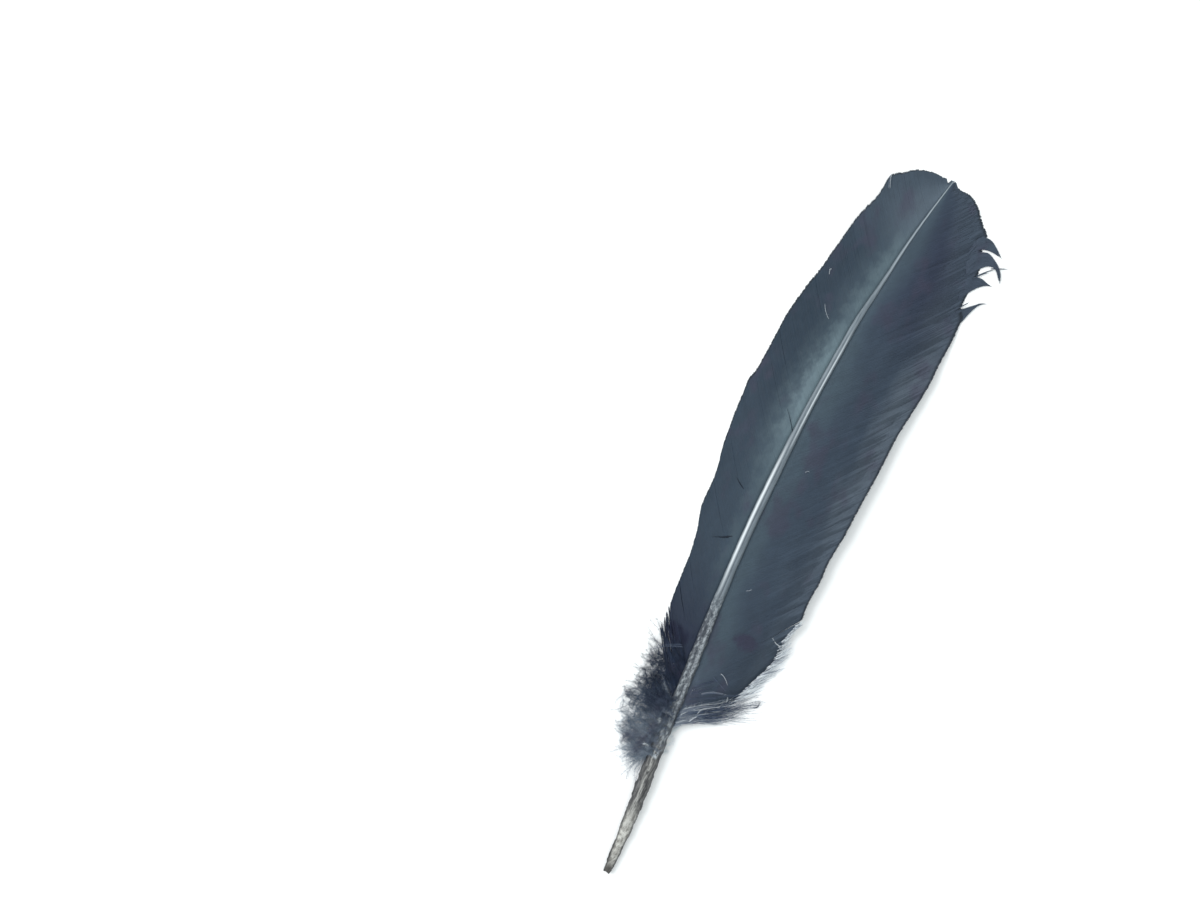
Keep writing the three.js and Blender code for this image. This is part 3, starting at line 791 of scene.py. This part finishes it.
def tuft(name, path, pale, stem, hair_seed, per_side, hair_length, hair_thick=0.024):
    """Threads and their hairs in one mesh, with how far out each point is and how pale its thread. A
    thread thins to a quarter of its stem, half its width."""
    count, points = path.shape[:2]
    u = np.linspace(0, 1, points)
    width = np.asarray(stem).reshape(-1, 1) * (0.25 + 0.75 * (1 - u)) * np.ones((count, 1))
    thread_points, thread_quads = strips(path, width, width * THREAD_DEPTH)
    hair_points, hair_faces = hairs(hair_seed, path, per_side, hair_length, hair_thick)
    thread_out = np.repeat(np.tile(u, count), CORNERS)
    hair_out = np.tile([HAIR_ROOT_OUT] * 3 + [1.0], len(hair_points) // CORNERS)
    own = np.broadcast_to(pale, count)
    thread_pale = np.repeat(own, points * CORNERS)
    hair_pale = np.repeat(own, 2 * per_side * CORNERS)
    return as_mesh(
        name,
        np.concatenate([thread_points, hair_points]),
        thread_quads,
        caps=list(hair_faces + len(thread_points)),
        out=np.concatenate([thread_out, hair_out]),
        pale=np.concatenate([thread_pale, hair_pale]),
    )


def downy(name):
    """Blue-grey down, palest over the quill and darkest between the vanes, with plum clouds. A thread
    is as pale as its value, near black below 0, and a pale one is paler at its end."""
    n = Nodes(name)
    _, y = n.place()
    out, pale = n.value("out"), n.value("pale")
    clouds = n.noise(n.stretched((0.25, 0.25, 0.25)), 1.0, 3.0)
    cloudy = n.spread(clouds, 0.35, 0.65)
    low = n.mix(cloudy, colour(112, 124, 138), colour(146, 156, 168))
    middle = n.mix(cloudy, colour(47, 57, 76), colour(74, 85, 102))
    high = n.mix(cloudy, colour(12, 22, 42), colour(34, 45, 68))
    base = n.mix(n.spread(y, 52, 63), low, middle)
    base = n.mix(n.spread(y, 63, 73), base, high)
    plum = n.noise(n.stretched((0.13, 0.13, 0.13)), 1.0, 2.0)
    base = n.mix(n.spread(plum, 0.5, 0.68, 0.0, 0.6), base, colour(62, 57, 78))
    light = n.times(n.spread(out, 0.3, 1.0), n.spread(pale, 0.0, 0.5, 0.03, 0.5))
    light = n.maths("ADD", pale, light, clamp=True)
    bright = n.mix(n.spread(pale, 0.1, 0.6), colour(128, 144, 172), colour(230, 236, 240))
    base = n.mix(light, base, bright)
    base = n.mix(n.spread(pale, -0.5, -0.05, 0.9, 0.0), base, colour(14, 18, 25))
    n.feed(n.shader.inputs["Base Color"], base)
    n.keep(Roughness=0.75, Specular_IOR_Level=0.2, Specular_Tint=(0.72, 0.86, 1.0, 1))
    n.keep(Sheen_Weight=0.08, Sheen_Roughness=0.5, Sheen_Tint=(0.6, 0.75, 1.0, 1))
    return n.material


def mostly_dark(seed, count, share_pale):
    """How pale each thread is: nearly 0 for most, and 0.25 to 0.7 for the given share."""
    rng = np.random.default_rng(seed)
    chosen = rng.uniform(0, 1, count) < share_pale
    return np.where(chosen, rng.uniform(0.25, 0.7, count), rng.uniform(0, 0.06, count))


down_material = downy("down_grey")
left_path = np.concatenate(
    [
        from_shaft(51, -1, 170, (45, 64), (13, 17), (138, 66), 2.2, tidy=1.3),
        from_shaft(52, -1, 130, (60, 80), (15, 21.5), (72, 52), 2.4),
    ]
)
left_down = tuft("down_left", left_path, mostly_dark(56, len(left_path), 0.015), 0.075, 61, 46, 2.4)
rng = np.random.default_rng(59)
felt_y = rng.uniform(45, 81, FELT_COUNT)
felt_out = rng.uniform(0, 1, FELT_COUNT) * np.interp(felt_y, [45, 60, 81], [9, 15, 10])
felt_z = 0.8 + rng.uniform(0, 2.6, FELT_COUNT) * (1 - felt_out / 18)
felt = threads(
    60,
    np.stack([shaft_x(felt_y) - 2 - felt_out, felt_y, felt_z], -1),
    rng.uniform(3, 7.5, FELT_COUNT),
    rng.uniform(-170, 10, FELT_COUNT),
    rng.normal(0, 90, FELT_COUNT),
    rng.uniform(0, 0.8, FELT_COUNT),
    rng.uniform(0.3, 2.2, FELT_COUNT),
)
drape_y = rng.uniform(45.5, 66, DRAPE_COUNT)
drape_width = shaft_width(drape_y)
drape_x = shaft_x(drape_y) - 0.5 * drape_width - rng.uniform(0, 2, DRAPE_COUNT)
drape = threads(
    64,
    np.stack([drape_x, drape_y, shaft_lift(drape_y) + 0.6 * drape_width], -1),
    rng.uniform(2, 5.4, DRAPE_COUNT),
    rng.uniform(-20, 100, DRAPE_COUNT),
    rng.normal(0, 60, DRAPE_COUNT),
    rng.uniform(0.8, 1.2, DRAPE_COUNT),
    shaft_lift(drape_y) + 0.93 * drape_width,
)
felt_path = np.concatenate([felt, drape])
felt_down = tuft("down_felt", felt_path, mostly_dark(63, len(felt_path), 0.08), 0.055, 65, 34, 2.0, 0.022)
right_path = np.concatenate(
    [
        from_shaft(53, 1, RIGHT_COUNTS[0], (47, 58), (3, 5), (70, 45), 0.6),
        from_shaft(54, 1, RIGHT_COUNTS[1], (57, 63), (17, 21), (37, 35), 1.6, tidy=0.22, curl=36),
        from_shaft(55, 1, RIGHT_COUNTS[2], (60, 74), (20, 26), (56, 47), 1.6, tidy=0.4),
        from_shaft(58, 1, RIGHT_COUNTS[3], (58.8, 63.5), (23, 33), (62, 60), 1.4, tidy=0.14, curl=-5),
    ]
)
right_pale = mostly_dark(57, len(right_path), 0.08) + np.repeat(RIGHT_PALE, RIGHT_COUNTS)
right_stem = np.repeat(RIGHT_STEM, RIGHT_COUNTS)
right_down = tuft("down_right", right_path, right_pale, right_stem, 62, 40, 1.6)
for piece in (left_down, felt_down, right_down):
    piece.data.materials.append(down_material)
    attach(piece, "root")
    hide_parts("feather")

# The loose barbs
# A pale fringe stands along the wide vane's lower edge, its whiteness partly a painted highlight where
# # its up-turned barbs catch the light, and single barbs lie curled over the down and the web. Dark ones
# # are threads of painted shade laid in the slits and creases of the narrow vane, and pale ones are its
# # folded corner near the tip.
FRINGE_FROM, FRINGE_TO = 75, 112  # the stretch of the edge that has it
FRINGE_COUNT = 190
FRINGE_SLANT = np.radians(40)  # from the tip's direction to the right, where it starts
FRINGE_STATIONS = 900  # places along the edge where a fringe thread may start
rng = np.random.default_rng(71)
edge_x, edge_y = through(WIDE_EDGE, np.linspace(0, 1, FRINGE_STATIONS)).T
low_edge = np.flatnonzero((edge_y > FRINGE_FROM) & (edge_y < FRINGE_TO))
picked = rng.choice(low_edge, FRINGE_COUNT)
near_down = 1 - smooth_step(84, 108, edge_y[picked])
back = rng.uniform(0.2, 2.2, FRINGE_COUNT)
fringe_lift = np.maximum(0, eased(WIDE_LIFT, edge_y[picked]))
fringe_start = np.stack(
    [
        edge_x[picked] - back * np.sin(FRINGE_SLANT),
        edge_y[picked] - back * np.cos(FRINGE_SLANT),
        fringe_lift + rng.uniform(0.8, 1.3, FRINGE_COUNT),
    ],
    -1,
)
fringe = threads(
    72,
    fringe_start,
    back + rng.uniform(0.4, 1.0, FRINGE_COUNT) * (2.2 + 9.5 * near_down),
    42 + rng.normal(0, 6, FRINGE_COUNT),
    -12 + rng.normal(0, 10, FRINGE_COUNT),
    rng.uniform(0, 0.5, FRINGE_COUNT),
    rng.uniform(0.3, 1.6, FRINGE_COUNT) + 0.6 * fringe_lift,
)
# Near white, partly a painted highlight where the up-turned barbs catch the light.
fringe_pale_and_highlight = rng.uniform(0.3, 1.0, FRINGE_COUNT)
fringe_piece = tuft("edge_fringe", fringe, fringe_pale_and_highlight, 0.13, 73, 7, 0.6, 0.022)


def web_top(x, y):
    """Height of the nearer vane's web at a place, from the barb that passes there, whose root a few
    rounds back along the slope find."""
    root = y
    for _ in range(ROOT_ROUNDS):
        root = y - BARB_SLOPE * np.abs(x - shaft_x(root))
    height = np.zeros(np.shape(x))
    for side, edge, lift in ((-1, NARROW_EDGE, NARROW_LIFT), (1, WIDE_EDGE, WIDE_LIFT)):
        tip_x, tip_y = barb_tips(edge, root)
        out = np.clip(np.abs(x - shaft_x(root)) / np.abs(tip_x - shaft_x(root)), 0, 1)
        here = web_height(out, root, np.maximum(0, eased(lift, tip_y)))
        height = np.where(side * (x - shaft_x(root)) > 0, here, height)
    return height


# Each single barb's start, bend and tip, as (x, y, height above the web), and how pale it is; below
# # 0 is dark, a thread of painted shade in a slit or crease
SINGLES = [
    ((4, 82.8, 0.6), (5.6, 82.9, 1.8), (8, 80.2, 0.8), 0.5),
    ((2.2, 80.6, 0.6), (5.4, 79.3, 1.6), (8.9, 77.7, 0.8), 0.2),
    ((0.9, 73.3, 1.6), (3.4, 76.4, 2.4), (9.8, 76.9, 1.4), 0.35),
    ((1.2, 73.2, 1.5), (3.9, 76.1, 2.3), (9.5, 76.5, 1.4), 0.28),
    ((1.6, 73.4, 1.5), (4.4, 75.9, 2.3), (7.9, 76.2, 1.4), 0.2),
    ((10.2, 76.2, 1.5), (10.8, 75.2, 2.0), (10.5, 74, 1.5), 0.5),
    ((9.4, 74.2, 1.5), (9.8, 72.6, 2.2), (8.4, 70.9, 1.5), 0.42),
    ((6.4, 71.6, 1.5), (7.4, 73, 2.2), (9.1, 73.6, 1.5), 0.3),
    ((5.9, 69.5, 1.6), (7.8, 70, 2.4), (9.2, 72.2, 1.6), 0.55),
    ((2.9, 66.2, 1.8), (3.1, 68.8, 2.6), (5.2, 69.6, 1.8), 0.55),
    ((3.3, 65.8, 1.8), (4.6, 67.2, 2.6), (6.8, 67.9, 1.8), 0.4),
    ((1.4, 62.4, 2.0), (1.8, 63.8, 2.6), (3.0, 65.2, 2.0), 0.7),
    ((2.0, 62.2, 2.0), (3.0, 63.2, 2.6), (4.2, 64.2, 2.0), 0.4),
    ((6.4, 67.6, 1.6), (14.4, 72.4, 2.0), (21.6, 77.2, 0.6), 0.12),
    ((8.2, 69.2, 1.6), (15.2, 73.4, 2.0), (22, 77.9, 0.6), 0.3),
    ((10.4, 71.2, 1.4), (15.8, 74.8, 1.8), (20.6, 78.5, 0.6), 0.45),
    ((11, 71.2, 1.4), (16.4, 74.6, 1.8), (21.4, 77.6, 0.6), 0.1),
    ((20.8, 76.8, 0.6), (22.8, 78.2, 0.9), (21.1, 79.9, 0.5), 0.05),
    ((20.2, 76.6, 0.6), (22.6, 78.0, 0.9), (21.3, 79.6, 0.5), 0.1),
    ((15, 102.6, 0.4), (19.5, 99.3, 1.6), (19.9, 103.6, 0.5), 0.8),
    ((-18.1, 214.6, 0.35), (-20.4, 216.1, 0.7), (-21.7, 219, 0.35), 0.45),
    ((-24.9, 229.4, 0.35), (-25.9, 231.6, 0.9), (-25.1, 231.5, 0.35), 0.5),
    # dark threads of painted shade in the slits of the narrow vane
    ((-14.4, 129, 0.5), (-16.6, 127.6, 1.0), (-21.4, 125.2, 0.5), -0.5),
    ((-15.4, 128, 0.5), (-17.4, 126.8, 0.9), (-20.2, 126, 0.5), -0.5),
    ((-15.4, 128.6, 0.5), (-17, 127.4, 0.9), (-18.8, 126.6, 0.5), -0.5),
    ((-18.4, 146.1, 0.5), (-20.6, 147.2, 0.8), (-23.3, 149.5, 0.5), -0.5),
    ((-19.2, 146.4, 0.5), (-20.8, 147.4, 0.8), (-22.1, 148.4, 0.5), -0.5),
    ((-1.2, 161.1, 0.35), (-0.6, 162.4, 0.8), (0, 161.9, 0.35), 0.4),
    ((-1.2, 113.6, 0.35), (0, 114.2, 0.8), (0.4, 115, 0.35), 0.4),
    ((-20.9, 271.9, 0.4), (-20.5, 269.6, 1.0), (-19.2, 267.1, 0.35), 0.5),
    ((-21, 271.4, 0.4), (-20.8, 269.3, 0.7), (-19.7, 266.8, 0.35), 0.3),
    # a dark thread of painted shade in a crease
    ((-11.9, 172.2, 0.3), (-14.4, 176, 0.4), (-17.4, 179.1, 0.3), -0.4),
    ((-13.2, 86.1, 2.4), (-16, 85.4, 3.6), (-21.8, 80.9, 3.2), 0.2),
    ((-12.8, 85.5, 2.4), (-16.2, 84.7, 3.6), (-22.6, 79.6, 3.2), 0.24),
    ((-15, 84.4, 2.4), (-18.6, 83.2, 3.4), (-22.2, 79.2, 3.2), 0.14),
]
single = np.array([[*start, *bend, *tip] for start, bend, tip, _ in SINGLES]).reshape(-1, 3, 3)
along = np.tile(np.linspace(0, 1, THREAD_POINTS), (len(single), 1))
single_path = bent(single[:, None, 0], single[:, None, 1], single[:, None, 2], along)
single_path[..., 2] += web_top(single_path[..., 0], single_path[..., 1])
single_pale = np.array([pale for _, _, _, pale in SINGLES])
single_piece = tuft("single_barbs", single_path, single_pale, 0.11, 74, 12, 0.8, 0.022)
for piece in (fringe_piece, single_piece):
    piece.data.materials.append(down_material)
    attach(piece, "root")
    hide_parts("feather")

# The floor, the light and the camera
# A plain pale floor in an even white surround. One large soft lamp, high on the photograph's left,
# gives the shaft its bright side and the right-hand edges a faint shadow. The camera looks straight
# down, with the feather leaning to the right.
FLOOR_SIDE = 6.0  # metres
LEAN = np.radians(26.498)  # the feather leans this far clockwise from upright in the photograph
FRAME_WIDTH = 434.7  # what the photograph's 1200 pixels span, in millimetres
CENTRE = np.array([-70.8, 135.5])  # the photograph's middle, from the quill end
LENS, SENSOR = 50.0, 36.0

bpy.ops.mesh.primitive_plane_add(size=FLOOR_SIDE, location=(0, 0, feather_low[2]))
floor = bpy.context.object
floor.name = "floor"
paper = bpy.data.materials.new("floor_white")
paper.use_nodes = True
paper_shader = paper.node_tree.nodes["Principled BSDF"]
paper_shader.inputs["Base Color"].default_value = (0.95, 0.955, 0.955, 1)
paper_shader.inputs["Roughness"].default_value = 0.9
floor.data.materials.append(paper)

image_right = np.array([np.cos(LEAN), np.sin(LEAN), 0.0])
image_up = np.array([-np.sin(LEAN), np.cos(LEAN), 0.0])


def soft_lamp(name, right, up, height, size, power):
    """A square lamp, metres to the photograph's right, up, and above the floor, aimed at the feather."""
    place = image_right * right + image_up * up + np.array([0, 0, height])
    data = bpy.data.lights.new(name, "AREA")
    data.shape = "SQUARE"
    data.size = size
    data.energy = power
    lamp = bpy.data.objects.new(name, data)
    lamp.location = place
    lamp.rotation_euler = Vector(-place).to_track_quat("-Z", "Y").to_euler()
    bpy.context.scene.collection.objects.link(lamp)


soft_lamp("window", -1.15, 0.57, 1.28, 1.0, 19)

world = bpy.data.worlds.new("surround")
bpy.context.scene.world = world
world.use_nodes = True
surround = world.node_tree.nodes["Background"]
surround.inputs["Color"].default_value = (0.94, 0.99, 1.0, 1)
surround.inputs["Strength"].default_value = 0.94

centre = quill_place[:2] + CENTRE
distance = FRAME_WIDTH * LENS / SENSOR
camera_data = bpy.data.cameras.new("camera")
camera_data.lens = LENS
camera_data.sensor_width = SENSOR
camera = bpy.data.objects.new("camera", camera_data)
camera.location = (centre[0] * MM, centre[1] * MM, distance * MM)
camera.rotation_euler = (0, 0, LEAN)
bpy.context.scene.collection.objects.link(camera)
bpy.context.scene.camera = camera
bpy.context.scene.view_settings.view_transform = "Standard"
bpy.context.scene.view_settings.exposure = 0.07
